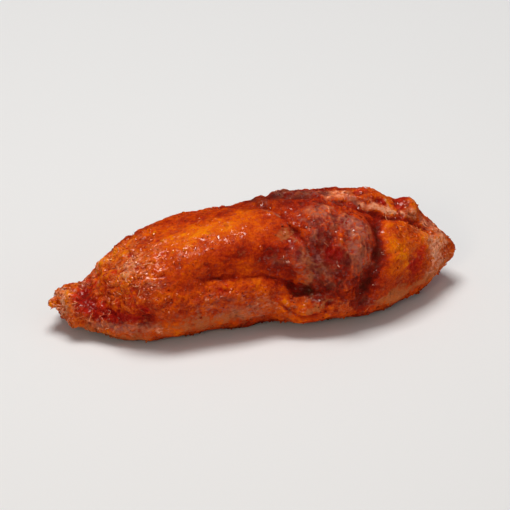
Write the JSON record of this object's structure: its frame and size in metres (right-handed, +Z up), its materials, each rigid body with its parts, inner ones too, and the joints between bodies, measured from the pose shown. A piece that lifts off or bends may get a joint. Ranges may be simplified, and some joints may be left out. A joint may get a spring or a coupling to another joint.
{
  "type": "chicken tender",
  "caption": "One glazed, roasted chicken tender: a plump strip of meat with a narrow snout, a pointed tail, folds and a flattened underside.",
  "frame": {"origin": "middle of the tender's length and width, on the surface that it rests on", "axes": "+X along the strip from its narrow snout to its pointed tail, -Y towards the front flank with the belly crease, +Z up"},
  "size_m": [0.1046, 0.0398, 0.0281],
  "materials": {
    "glazed_chicken": "wet orange-red sauce glaze over roasted chicken, with dark browned patches and pale meat low on the flanks"
  },
  "bodies": {
    "root": {"tender": "glazed_chicken"}
  },
  "joints": []
}
